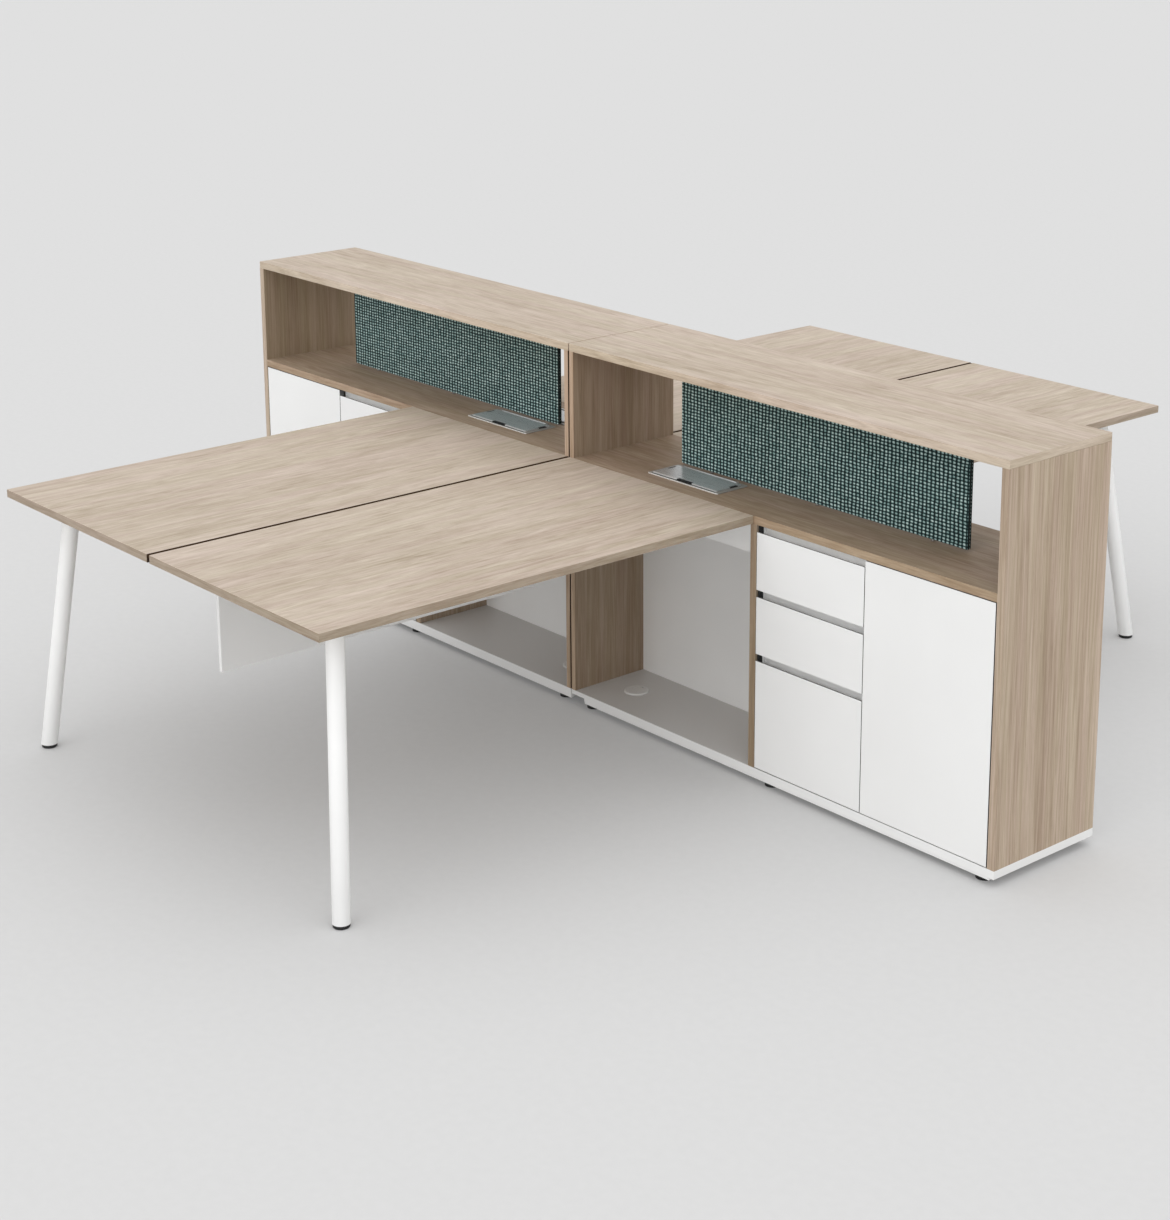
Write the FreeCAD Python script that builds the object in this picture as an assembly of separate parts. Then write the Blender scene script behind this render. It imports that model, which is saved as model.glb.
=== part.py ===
import FreeCAD
import Part
import os
from FreeCAD import Vector

# Four-person desk cluster: a storage spine of two units with a pair of desks on each side of it.
# Frame: millimetres, +Z up, origin on the floor at the middle of the spine. +X runs along the spine and +Y
# to the far desks. The left unit mirrors the right one, and the far desks mirror the near ones.

# Spine carcass
UNIT_WIDTH = 1600.0
UNIT_GAP = 4.0
SPINE_DEPTH = 380.0
SPINE_HEIGHT = 1080.0
PANEL_T = 22.0
CENTRE_T = 18.0
BASE_T = 22.0
BACK_T = 18.0
DIVIDER_T = 18.0
BAY_BACK_SETBACK = 100.0
STORAGE_BACK_SETBACK = 4.0

# Rail under the front and the rear edge of each base
BASE_RAIL_H = 7.0
BASE_RAIL_T = 12.0
BASE_RAIL_SETBACK = 1.5
BASE_RAIL_END_GAP = 16.0

# Levelling feet, and the notch beside one of them
LEVEL_FOOT_H = 25.0
LEVEL_PAD_D = 42.0
LEVEL_PAD_H = 9.0
LEVEL_STEM_D = 14.0
LEVEL_FOOT_INSET_X = 60.0
LEVEL_FOOT_INSET_Y = 36.0
LEVEL_FEET_PER_ROW = 3
NOTCH_START = 2.0
NOTCH_WIDTH = 55.0
NOTCH_HEIGHT = 9.0
NOTCH_DEPTH = 90.0

# Desktops
DESK_HEIGHT = 750.0
DESKTOP_T = 22.0
DESKTOP_WIDTH = 750.0
DESKTOP_LENGTH = 1350.0
DESKTOP_SPLIT = 9.0
DESKTOP_JOINT = 0.5

# Legs and the steel frame under the desktops
LEG_D = 45.0
LEG_WALL = 2.0
LEG_SPLAY_X = 92.0
LEG_SPLAY_Y = 70.0
LEG_INSET_X = 36.0
LEG_INSET_Y = 58.0
LEG_FOOT_D = 42.0
LEG_FOOT_H = 10.0
LEG_FOOT_EDGE = 2.0
LEG_PLATE = 120.0
LEG_PLATE_T = 6.0
BEAM_WIDTH = 40.0
BEAM_HEIGHT = 40.0
BEAM_WALL = 2.0
JOIN_PLATE_WIDTH = 76.0
JOIN_PLATE_T = 4.0
JOIN_PLATE_END_GAP = 2.0

# Modesty panels
MODESTY_T = 12.0
MODESTY_HEIGHT = 294.0
MODESTY_OUTER_INSET = 190.0
MODESTY_INNER_INSET = 135.0

# Fabric screens
SCREEN_T = 14.0
SCREEN_SIDE_GAP = 252.0
SCREEN_FLOAT = 5.0
SCREEN_MOUNT_D = 10.0
SCREEN_MOUNT_INSET = 120.0

# Drawer and door fronts
FRONT_T = 18.0
FRONT_GAP = 2.5
SHALLOW_FRONT_H = 158.0
PULL_RECESS = 20.0
DOOR_WIDTH = 421.0
DOOR_HINGE_GAP = 3.5

# Aluminium finger pull behind the top of each drawer front
PULL_LIP_T = 5.0
PULL_SHEET = 2.0
PULL_GROOVE = 14.0
PULL_DEPTH = 16.0
PULL_ROUND = 6.0
PULL_LIP_GAP = 1.0
PULL_FLANGE = 12.0
PULL_TOP_GAP = 4.0
PULL_END_GAP = 14.0
PULL_REAR_GAP = 5.0

# Drawer boxes and runners
BOX_SIDE_T = 12.0
BOX_BOTTOM_T = 8.0
BOX_LENGTH = 315.0
BOX_LIFT = 12.0
BOX_TOP_GAP = 2.0
RUNNER_DEPTH = 12.0
RUNNER_SHEET = 2.0
RUNNER_HEIGHT = 34.0
RUNNER_LENGTH = 298.0
RUNNER_LIFT = 20.0
RUNNER_FRONT_GAP = 2.0
RUNNER_LIP_CLEARANCE = 0.7
RAIL_CLEARANCE = 0.3

# Door pivots
PIVOT_D = 6.0
PIVOT_INSET = 7.0
PIVOT_REACH = 10.0
PIVOT_CLEARANCE = 0.3
PIVOT_COLLAR_D = 12.0
PIN_FIT = 0.1

# Push latch that holds the door
LATCH_WIDTH = 14.0
LATCH_HEIGHT = 24.0
LATCH_LENGTH = 60.0
LATCH_DROP = 90.0
LATCH_SETBACK = 4.0
PLUNGER_D = 8.0
PLUNGER_GUIDED = 24.0
PLUNGER_TRAVEL = 3.0
PLUNGER_CLEARANCE = 0.3

# Cupboard shelf and its pins
CUPBOARD_SHELF_T = 18.0
CUPBOARD_SHELF_GAP = 1.0
SHELF_PIN_D = 5.0
SHELF_PIN_REACH = 8.0
SHELF_PIN_INSET = 50.0
SHELF_PIN_CLEARANCE = 0.05

# Cable tray under the shelf in each bay
TRAY_SHEET = 2.0
TRAY_DEPTH = 100.0
TRAY_SETBACK = 40.0
TRAY_END_GAP = 2.0
TRAY_LIP = 18.0
TRAY_SLOT_LENGTH = 120.0
TRAY_SLOT_WIDTH = 40.0
TRAY_SLOTS = 3

# Cable grommet in the bay floor
GROMMET_HOLE_D = 60.0
GROMMET_FLANGE_D = 74.0
GROMMET_WALL = 3.0
GROMMET_RISE = 5.0
GROMMET_LEDGE = 2.0
GROMMET_CLEARANCE = 0.3
GROMMET_SLOT = 14.0
GROMMET_FROM_PANEL = 120.0

# Power boxes in the shelf
POWER_FROM_PANEL = 392.0
POWER_FROM_MIDDLE = 75.0
POWER_FRAME_LENGTH = 284.0
POWER_FRAME_WIDTH = 118.0
POWER_FRAME_T = 2.0
POWER_FRAME_RADIUS = 8.0
TUB_LENGTH = 250.0
TUB_WIDTH = 92.0
TUB_DEPTH = 68.0
TUB_WALL = 2.0
TUB_CLEARANCE = 2.0
LID_OVERLAP = 3.0
LID_T = 3.0
LID_LIFT = 0.3
LID_SLOT_LENGTH = 62.0
LID_SLOT_WIDTH = 7.0
LID_END_SLOT_LENGTH = 30.0
LID_END_SLOT_WIDTH = 4.0
LID_END_SLOT_BACK = 18.0
BARREL_D = 5.0
BARREL_LENGTH = 212.0
LID_PIN_D = 2.5
LUG_T = 5.0
LUG_SIZE = 6.0
LUG_CLEARANCE = 0.3
LUG_RELIEF = 2.0
SOCKET_LENGTH = 210.0
SOCKET_WIDTH = 44.0
SOCKET_HEIGHT = 28.0
SOCKET_COUNT = 3
SOCKET_WELL_D = 36.0
SOCKET_WELL_DEPTH = 7.0

# Bolts that join the two units
BOLT_D = 8.0
BOLT_HEAD_D = 18.0
BOLT_HEAD_T = 4.0
BOLT_CLEARANCE = 0.2
BOLT_REAR_INSET = 22.0
BOLT_ABOVE_BASE = 103.0
BOLT_BELOW_SHELF = 88.0

# Levels and planes that the pieces share
RIGHT, LEFT = 1, -1
NEAR, FAR = -1, 1
SIDES = {"left": LEFT, "right": RIGHT}
WINGS = {"near": NEAR, "far": FAR}
HALF_DEPTH = SPINE_DEPTH / 2
UNIT_IN = UNIT_GAP / 2
UNIT_OUT = UNIT_IN + UNIT_WIDTH
BASE_TOP = LEVEL_FOOT_H + BASE_T
FULL_DEPTH = (-HALF_DEPTH, HALF_DEPTH)
TOP_UNDER = SPINE_HEIGHT - PANEL_T
SHELF_UNDER = DESK_HEIGHT - PANEL_T
UNDER_SHELF = (BASE_TOP, SHELF_UNDER)
TRAY_UNDER = SHELF_UNDER - TRAY_DEPTH
BOLT_HEIGHTS = (BASE_TOP + BOLT_ABOVE_BASE, SHELF_UNDER - BOLT_BELOW_SHELF)
DESKTOP_UNDER = DESK_HEIGHT - DESKTOP_T
CENTRE_FACE = UNIT_IN + CENTRE_T
NOTCH_END = UNIT_IN + NOTCH_START + NOTCH_WIDTH
END_FACE = UNIT_OUT - PANEL_T
DESK_EDGE = DESKTOP_SPLIT / 2 + DESKTOP_WIDTH
DESK_END = HALF_DEPTH + DESKTOP_JOINT + DESKTOP_LENGTH
BAY_OUT = DESK_EDGE - PANEL_T / 2
STORE_IN = DESK_EDGE + PANEL_T / 2
BAY_BACK_FACE = HALF_DEPTH - BAY_BACK_SETBACK - BACK_T
STORE_BACK_FACE = HALF_DEPTH - STORAGE_BACK_SETBACK - BACK_T
FRONT_REAR = -HALF_DEPTH + FRONT_T
DOOR_OUT = END_FACE - DOOR_HINGE_GAP
DOOR_IN = DOOR_OUT - DOOR_WIDTH
DRAWER_OUT = DOOR_IN - FRONT_GAP
DRAWER_IN = STORE_IN + FRONT_GAP
DIVIDER_IN = DOOR_IN - FRONT_GAP / 2 - DIVIDER_T / 2
DIVIDER_OUT = DIVIDER_IN + DIVIDER_T
PULL_LIP = -HALF_DEPTH + PULL_LIP_T
PULL_WEB = PULL_LIP + PULL_SHEET + PULL_GROOVE
DIVIDER_FRONT = PULL_WEB + PULL_SHEET + PULL_REAR_GAP
DOOR_LOW = BASE_TOP + FRONT_GAP
DOOR_HIGH = SHELF_UNDER - FRONT_GAP
PIVOT_X = DOOR_OUT - PIVOT_INSET
PIVOT_Y = -HALF_DEPTH + PIVOT_INSET
LEG_FOOT_X = DESK_EDGE - LEG_INSET_X
LEG_FOOT_Y = DESK_END - LEG_INSET_Y
LEG_TOP_X = LEG_FOOT_X - LEG_SPLAY_X
LEG_TOP_Y = LEG_FOOT_Y - LEG_SPLAY_Y
BEAM_UNDER = DESKTOP_UNDER - BEAM_HEIGHT
POWER_X = CENTRE_FACE + POWER_FROM_PANEL
LATCH_Z = DOOR_HIGH - LATCH_DROP
CUPBOARD_SHELF_Z = (BASE_TOP + SHELF_UNDER - CUPBOARD_SHELF_T) / 2


def drawer_fronts():
    """Low and high edge of each drawer front, from the top one down."""
    upper_high = SHELF_UNDER - PULL_RECESS
    middle_high = upper_high - SHALLOW_FRONT_H - PULL_RECESS
    lower_high = middle_high - SHALLOW_FRONT_H - PULL_RECESS
    return {
        "upper": (upper_high - SHALLOW_FRONT_H, upper_high),
        "middle": (middle_high - SHALLOW_FRONT_H, middle_high),
        "lower": (BASE_TOP + FRONT_GAP, lower_high),
    }


def block(xs, ys, zs):
    """A board between two planes on each axis, given in either order."""
    low = [min(pair) for pair in (xs, ys, zs)]
    size = [abs(pair[1] - pair[0]) for pair in (xs, ys, zs)]
    return Part.makeBox(*size, Vector(*low))


def centred_block(x, y, length, width, zs):
    """A block round a vertical axis at x and y."""
    return block((x - length / 2, x + length / 2), (y - width / 2, y + width / 2), zs)


def prism(points, travel):
    """A closed outline pushed along a vector."""
    return Part.Face(Part.makePolygon([*points, points[0]])).extrude(travel)


def turned(outline, place):
    """A closed (radius, height) outline turned round a vertical axis."""
    points = [Vector(radius, 0, height) for radius, height in outline]
    solid = Part.Face(Part.makePolygon([*points, points[0]])).revolve(Vector(), Vector(0, 0, 1), 360)
    solid.translate(place)
    return solid


def rod_x(diameter, x0, x1, y, z):
    """A round bar along X."""
    return Part.makeCylinder(diameter / 2, abs(x1 - x0), Vector(min(x0, x1), y, z), Vector(1, 0, 0))


def rod_z(diameter, x, y, z0, z1):
    """A round bar along Z."""
    return Part.makeCylinder(diameter / 2, z1 - z0, Vector(x, y, z0), Vector(0, 0, 1))


def to_far(shape):
    return shape.mirror(Vector(), Vector(0, 1, 0))


def save(name, *solids):
    """Writes one node, which may be a group of separate solids."""
    shape = solids[0] if len(solids) == 1 else Part.makeCompound(list(solids))
    shape.exportStep(f"parts/{name}.step")


def grommet_centre(side):
    return Vector(side * (CENTRE_FACE + GROMMET_FROM_PANEL), (BAY_BACK_FACE - HALF_DEPTH) / 2, BASE_TOP)


def base_board(side):
    """Base with a rail under its front and rear edge, a grommet hole and the door's lower pivot hole."""
    board = block((side * UNIT_IN, side * UNIT_OUT), FULL_DEPTH, (LEVEL_FOOT_H, BASE_TOP))
    for wing in WINGS.values():
        start = NOTCH_END if (side, wing) == (RIGHT, NEAR) else UNIT_IN
        outer = HALF_DEPTH - BASE_RAIL_SETBACK
        board = board.fuse(block(
            (side * start, side * (UNIT_OUT - BASE_RAIL_END_GAP)),
            (wing * outer, wing * (outer - BASE_RAIL_T)),
            (LEVEL_FOOT_H - BASE_RAIL_H, LEVEL_FOOT_H),
        ))
    hole = grommet_centre(side)
    board = board.cut(rod_z(GROMMET_HOLE_D, hole.x, hole.y, LEVEL_FOOT_H, BASE_TOP))
    pivot_hole = rod_z(PIVOT_D + 2 * PIN_FIT, side * PIVOT_X, PIVOT_Y, BASE_TOP - PIVOT_REACH, BASE_TOP)
    board = board.cut(pivot_hole)
    if side == RIGHT:
        board = board.cut(block(
            (UNIT_IN + NOTCH_START, NOTCH_END),
            (-HALF_DEPTH, -HALF_DEPTH + NOTCH_DEPTH),
            (LEVEL_FOOT_H, LEVEL_FOOT_H + NOTCH_HEIGHT),
        ))
    return board.removeSplitter()


def levelling_feet():
    """Turned pads on short stems under both units."""
    feet = []
    run = UNIT_WIDTH - 2 * LEVEL_FOOT_INSET_X
    for side in SIDES.values():
        for wing in WINGS.values():
            for index in range(LEVEL_FEET_PER_ROW):
                x = UNIT_IN + LEVEL_FOOT_INSET_X + run * index / (LEVEL_FEET_PER_ROW - 1)
                outline = [
                    (0, 0), (LEVEL_PAD_D / 2, 0), (LEVEL_PAD_D / 2, LEVEL_PAD_H),
                    (LEVEL_STEM_D / 2, LEVEL_PAD_H), (LEVEL_STEM_D / 2, LEVEL_FOOT_H), (0, LEVEL_FOOT_H),
                ]
                feet.append(turned(outline, Vector(side * x, wing * (HALF_DEPTH - LEVEL_FOOT_INSET_Y), 0)))
    return feet


def end_panel(side):
    panel = block((side * END_FACE, side * UNIT_OUT), FULL_DEPTH, (BASE_TOP, TOP_UNDER))
    for y in shelf_pin_rows():
        panel = panel.cut(shelf_pin_hole(side * END_FACE, side * (END_FACE + SHELF_PIN_REACH), y))
    return panel


def centre_panel(side):
    panel = block((side * UNIT_IN, side * CENTRE_FACE), FULL_DEPTH, (BASE_TOP, TOP_UNDER))
    y = HALF_DEPTH - BOLT_REAR_INSET
    for z in BOLT_HEIGHTS:
        panel = panel.cut(rod_x(BOLT_D + 2 * BOLT_CLEARANCE, -CENTRE_FACE, CENTRE_FACE, y, z))
    return panel


def unit_bolts():
    """Bolts with a flat head on each side that draw the two centre panels together."""
    bolts = []
    y = HALF_DEPTH - BOLT_REAR_INSET
    for z in BOLT_HEIGHTS:
        bolt = rod_x(BOLT_D, -CENTRE_FACE - BOLT_HEAD_T, CENTRE_FACE + BOLT_HEAD_T, y, z)
        for side in SIDES.values():
            head_end = CENTRE_FACE + BOLT_HEAD_T
            bolt = bolt.fuse(rod_x(BOLT_HEAD_D, side * CENTRE_FACE, side * head_end, y, z))
        bolts.append(bolt.removeSplitter())
    return bolts


def bay_partition(side):
    return block((side * BAY_OUT, side * STORE_IN), FULL_DEPTH, UNDER_SHELF)


def cupboard_divider(side):
    board = block((side * DIVIDER_IN, side * DIVIDER_OUT), (DIVIDER_FRONT, STORE_BACK_FACE), UNDER_SHELF)
    for y in shelf_pin_rows():
        board = board.cut(shelf_pin_hole(side * DIVIDER_OUT, side * (DIVIDER_OUT - SHELF_PIN_REACH), y))
    return board


def shelf_pin_rows():
    return (DIVIDER_FRONT + SHELF_PIN_INSET, STORE_BACK_FACE - SHELF_PIN_INSET)


def shelf_pin_height():
    return CUPBOARD_SHELF_Z - SHELF_PIN_D / 2 - SHELF_PIN_CLEARANCE


def shelf_pin_hole(mouth, end, y):
    return rod_x(SHELF_PIN_D + 2 * PIN_FIT, mouth, end, y, shelf_pin_height())


def shelf_pins(side):
    pins = []
    for face, inward in ((END_FACE, -1), (DIVIDER_OUT, 1)):
        for y in shelf_pin_rows():
            inner = face + inward * SHELF_PIN_REACH
            outer = face - inward * SHELF_PIN_REACH
            pins.append(rod_x(SHELF_PIN_D, side * inner, side * outer, y, shelf_pin_height()))
    return pins


def cupboard_shelf(side):
    return block(
        (side * (DIVIDER_OUT + CUPBOARD_SHELF_GAP), side * (END_FACE - CUPBOARD_SHELF_GAP)),
        (DIVIDER_FRONT, STORE_BACK_FACE - CUPBOARD_SHELF_GAP),
        (CUPBOARD_SHELF_Z, CUPBOARD_SHELF_Z + CUPBOARD_SHELF_T),
    )


def shelf_board(side):
    """Shelf at desk height, cut out for the two power boxes and drilled for the door's top pivot."""
    board = block((side * CENTRE_FACE, side * END_FACE), FULL_DEPTH, (SHELF_UNDER, DESK_HEIGHT))
    for wing in WINGS.values():
        length = TUB_LENGTH + 2 * TUB_CLEARANCE
        width = TUB_WIDTH + 2 * TUB_CLEARANCE
        y = wing * POWER_FROM_MIDDLE
        board = board.cut(centred_block(side * POWER_X, y, length, width, (SHELF_UNDER, DESK_HEIGHT)))
    hole_end = SHELF_UNDER + PIVOT_REACH
    return board.cut(rod_z(PIVOT_D + 2 * PIN_FIT, side * PIVOT_X, PIVOT_Y, SHELF_UNDER, hole_end))


def top_board(side):
    return block((side * UNIT_IN, side * UNIT_OUT), FULL_DEPTH, (TOP_UNDER, SPINE_HEIGHT))


def bay_back(side):
    rear = BAY_BACK_FACE + BACK_T
    return block((side * CENTRE_FACE, side * BAY_OUT), (BAY_BACK_FACE, rear), (BASE_TOP, TRAY_UNDER))


def storage_back(side):
    rear = STORE_BACK_FACE + BACK_T
    return block((side * STORE_IN, side * END_FACE), (STORE_BACK_FACE, rear), UNDER_SHELF)


def screen(side):
    return block(
        (side * (CENTRE_FACE + SCREEN_SIDE_GAP), side * (END_FACE - SCREEN_SIDE_GAP)),
        (-SCREEN_T / 2, SCREEN_T / 2),
        (DESK_HEIGHT + SCREEN_FLOAT, TOP_UNDER),
    )


def screen_mounts(side):
    """Short pins that hold each screen off the shelf."""
    inset = SCREEN_SIDE_GAP + SCREEN_MOUNT_INSET
    places = (CENTRE_FACE + inset, (CENTRE_FACE + END_FACE) / 2, END_FACE - inset)
    return [rod_z(SCREEN_MOUNT_D, side * x, 0, DESK_HEIGHT, DESK_HEIGHT + SCREEN_FLOAT) for x in places]


def pull_floor(high):
    """Underside of the finger groove of the front whose upper edge is given."""
    return high - PULL_DEPTH - PULL_SHEET


def drawer_front(side, low, high):
    """Front whose upper edge is rebated from behind to a thin lip, which makes room for the finger pull."""
    width = (side * DRAWER_IN, side * DRAWER_OUT)
    front = block(width, (-HALF_DEPTH, FRONT_REAR), (low, high))
    return front.cut(block(width, (PULL_LIP, FRONT_REAR), (pull_floor(high), high)))


def drawer_pull(side, high):
    """Rounded aluminium channel behind the lip for the fingers, with a screw flange behind the front."""
    floor = pull_floor(high)
    flange = floor - PULL_FLANGE
    lip_high = high - PULL_LIP_GAP
    web_high = high + PULL_RECESS - PULL_TOP_GAP
    outline = [
        (PULL_LIP, floor), (FRONT_REAR, floor), (FRONT_REAR, flange), (FRONT_REAR + PULL_SHEET, flange),
        (FRONT_REAR + PULL_SHEET, floor), (PULL_WEB + PULL_SHEET, floor), (PULL_WEB + PULL_SHEET, web_high),
        (PULL_WEB, web_high), (PULL_WEB, floor + PULL_SHEET), (PULL_LIP + PULL_SHEET, floor + PULL_SHEET),
        (PULL_LIP + PULL_SHEET, lip_high), (PULL_LIP, lip_high),
    ]
    start = side * (DRAWER_IN + PULL_END_GAP)
    length = side * (DRAWER_OUT - DRAWER_IN - PULL_END_GAP)
    channel = prism([Vector(start, y, z) for y, z in outline], Vector(length, 0, 0))
    return channel.makeFillet(PULL_ROUND, edges_along_x(channel, PULL_WEB, floor + PULL_SHEET))


def edges_along_x(shape, y, z):
    """The edges of a shape that run along X at one place."""
    found = []
    for edge in shape.Edges:
        middle = edge.CenterOfMass
        straight = edge.BoundBox.XLength > edge.BoundBox.YLength + edge.BoundBox.ZLength
        if straight and abs(middle.y - y) < 0.001 and abs(middle.z - z) < 0.001:
            found.append(edge)
    return found


def drawer_box(side, low, high):
    """Sides, back and bottom behind the front, with a rail on each side that runs in the fixed runner."""
    room = RUNNER_DEPTH + RUNNER_LIP_CLEARANCE
    left, right = STORE_IN + room, DIVIDER_IN - room
    rear = FRONT_REAR + BOX_LENGTH
    floor = low + BOX_LIFT
    rim = pull_floor(high) - PULL_FLANGE - BOX_TOP_GAP
    inner = (side * (left + BOX_SIDE_T), side * (right - BOX_SIDE_T))
    pieces = [
        block((side * left, side * (left + BOX_SIDE_T)), (FRONT_REAR, rear), (floor, rim)),
        block((side * (right - BOX_SIDE_T), side * right), (FRONT_REAR, rear), (floor, rim)),
        block(inner, (rear - BOX_SIDE_T, rear), (floor, rim)),
        block(inner, (FRONT_REAR, rear - BOX_SIDE_T), (floor, floor + BOX_BOTTOM_T)),
    ]
    rail_low = floor + RUNNER_LIFT + RUNNER_SHEET + RAIL_CLEARANCE
    rail_high = floor + RUNNER_LIFT + RUNNER_HEIGHT - RUNNER_SHEET - RAIL_CLEARANCE
    for face, outer in (
        (left, STORE_IN + RUNNER_SHEET + RAIL_CLEARANCE),
        (right, DIVIDER_IN - RUNNER_SHEET - RAIL_CLEARANCE),
    ):
        pieces.append(block((side * face, side * outer), runner_span(), (rail_low, rail_high)))
    return pieces


def runner_span():
    start = DIVIDER_FRONT + RUNNER_FRONT_GAP
    return (start, start + RUNNER_LENGTH)


def drawer_runners(side, low):
    """C-shaped steel channels on the partition and the divider."""
    bottom = low + BOX_LIFT + RUNNER_LIFT
    top = bottom + RUNNER_HEIGHT
    start, end = runner_span()
    channels = []
    for face, inward in ((STORE_IN, 1), (DIVIDER_IN, -1)):
        lip = face + inward * RUNNER_DEPTH
        web = face + inward * RUNNER_SHEET
        outline = [
            (face, bottom), (lip, bottom), (lip, bottom + RUNNER_SHEET), (web, bottom + RUNNER_SHEET),
            (web, top - RUNNER_SHEET), (lip, top - RUNNER_SHEET), (lip, top), (face, top),
        ]
        channels.append(prism([Vector(side * x, start, z) for x, z in outline], Vector(0, end - start, 0)))
    return channels


def cupboard_door(side):
    """Plain inset door with a blind pivot hole in its top and bottom edge."""
    door = block((side * DOOR_IN, side * DOOR_OUT), (-HALF_DEPTH, FRONT_REAR), (DOOR_LOW, DOOR_HIGH))
    bore = PIVOT_D + 2 * PIVOT_CLEARANCE
    depth = PIVOT_REACH + PIVOT_CLEARANCE
    door = door.cut(rod_z(bore, side * PIVOT_X, PIVOT_Y, DOOR_LOW, DOOR_LOW + depth))
    return door.cut(rod_z(bore, side * PIVOT_X, PIVOT_Y, DOOR_HIGH - depth, DOOR_HIGH))


def door_pivots(side):
    """Pins in the base and the shelf. The lower one has a collar that carries the door."""
    collar = rod_z(PIVOT_COLLAR_D, side * PIVOT_X, PIVOT_Y, BASE_TOP, DOOR_LOW - PIVOT_CLEARANCE)
    lower = rod_z(PIVOT_D, side * PIVOT_X, PIVOT_Y, BASE_TOP - PIVOT_REACH, DOOR_LOW + PIVOT_REACH)
    upper = rod_z(PIVOT_D, side * PIVOT_X, PIVOT_Y, DOOR_HIGH - PIVOT_REACH, SHELF_UNDER + PIVOT_REACH)
    return [lower.fuse(collar).removeSplitter(), upper]


def latch_axis(side):
    return side * (DIVIDER_OUT + LATCH_WIDTH / 2)


def latch_housing(side):
    """Block on the divider, bored for the plunger with room for its travel."""
    front = DIVIDER_FRONT + LATCH_SETBACK
    housing = block(
        (side * DIVIDER_OUT, side * (DIVIDER_OUT + LATCH_WIDTH)),
        (front, front + LATCH_LENGTH),
        (LATCH_Z - LATCH_HEIGHT / 2, LATCH_Z + LATCH_HEIGHT / 2),
    )
    depth = PLUNGER_GUIDED + PLUNGER_TRAVEL + PLUNGER_CLEARANCE
    radius = PLUNGER_D / 2 + PLUNGER_CLEARANCE
    mouth = Vector(latch_axis(side), front, LATCH_Z)
    return housing.cut(Part.makeCylinder(radius, depth, mouth, Vector(0, 1, 0)))


def latch_plunger(side):
    start = FRONT_REAR + PLUNGER_CLEARANCE
    end = DIVIDER_FRONT + LATCH_SETBACK + PLUNGER_GUIDED
    tip = Vector(latch_axis(side), start, LATCH_Z)
    return Part.makeCylinder(PLUNGER_D / 2, end - start, tip, Vector(0, 1, 0))


def cable_tray(side):
    """Lipped sheet-steel channel under the shelf, with rounded cable slots in its floor."""
    wall = HALF_DEPTH - TRAY_SETBACK
    inner = wall - TRAY_SHEET
    lip = wall - TRAY_LIP
    floor_top = TRAY_UNDER + TRAY_SHEET
    lip_under = SHELF_UNDER - TRAY_SHEET
    half = [
        (wall, TRAY_UNDER), (wall, SHELF_UNDER), (lip, SHELF_UNDER),
        (lip, lip_under), (inner, lip_under), (inner, floor_top),
    ]
    outline = half + [(-y, z) for y, z in reversed(half)]
    start, end = CENTRE_FACE + TRAY_END_GAP, BAY_OUT - TRAY_END_GAP
    tray = prism([Vector(side * start, y, z) for y, z in outline], Vector(side * (end - start), 0, 0))
    pitch = (end - start) / TRAY_SLOTS
    straight = TRAY_SLOT_LENGTH / 2 - TRAY_SLOT_WIDTH / 2
    for index in range(TRAY_SLOTS):
        x = side * (start + pitch * (index + 0.5))
        slot = centred_block(x, 0, 2 * straight, TRAY_SLOT_WIDTH, (TRAY_UNDER, floor_top))
        for end_x in (x - straight, x + straight):
            slot = slot.fuse(rod_z(TRAY_SLOT_WIDTH, end_x, 0, TRAY_UNDER, floor_top))
        tray = tray.cut(slot)
    return tray


def cable_grommet(side):
    """Flanged liner with a rounded rim, and a cap on its inner ledge with a slot for cables."""
    sleeve = GROMMET_HOLE_D / 2 - GROMMET_CLEARANCE
    bore = sleeve - GROMMET_WALL
    flange = GROMMET_FLANGE_D / 2
    corners = [
        (bore, -BASE_T), (sleeve, -BASE_T), (sleeve, 0), (flange, 0), (flange - GROMMET_RISE, GROMMET_RISE),
        (bore, GROMMET_RISE), (bore, 0), (bore - GROMMET_LEDGE, 0), (bore - GROMMET_LEDGE, -GROMMET_LEDGE),
        (bore, -GROMMET_LEDGE),
    ]
    points = [Vector(radius, 0, height) for radius, height in corners]
    edges = []
    for start, end in zip(points, [*points[1:], points[0]]):
        if start.x == flange:
            bulge = GROMMET_RISE * 0.5 ** 0.5
            middle = Vector(flange - GROMMET_RISE + bulge, 0, bulge)
            edges.append(Part.Arc(start, middle, end).toShape())
        else:
            edges.append(Part.LineSegment(start, end).toShape())
    liner = Part.Face(Part.Wire(edges)).revolve(Vector(), Vector(0, 0, 1), 360)
    cap_radius = bore - GROMMET_CLEARANCE
    cap = Part.makeCylinder(cap_radius, GROMMET_RISE)
    half_slot = GROMMET_SLOT / 2
    cap = cap.cut(block((-half_slot, half_slot), (cap_radius - half_slot, flange), (0, GROMMET_RISE)))
    for piece in (liner, cap):
        piece.translate(grommet_centre(side))
    return [liner, cap]


def power_centre(side):
    return side * POWER_X, -POWER_FROM_MIDDLE


def lid_axis():
    """Distance of the lid's hinge line behind the middle of the near box, and its height."""
    return TUB_WIDTH / 2 + LID_OVERLAP, DESK_HEIGHT + POWER_FRAME_T + LID_LIFT + BARREL_D / 2


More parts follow.
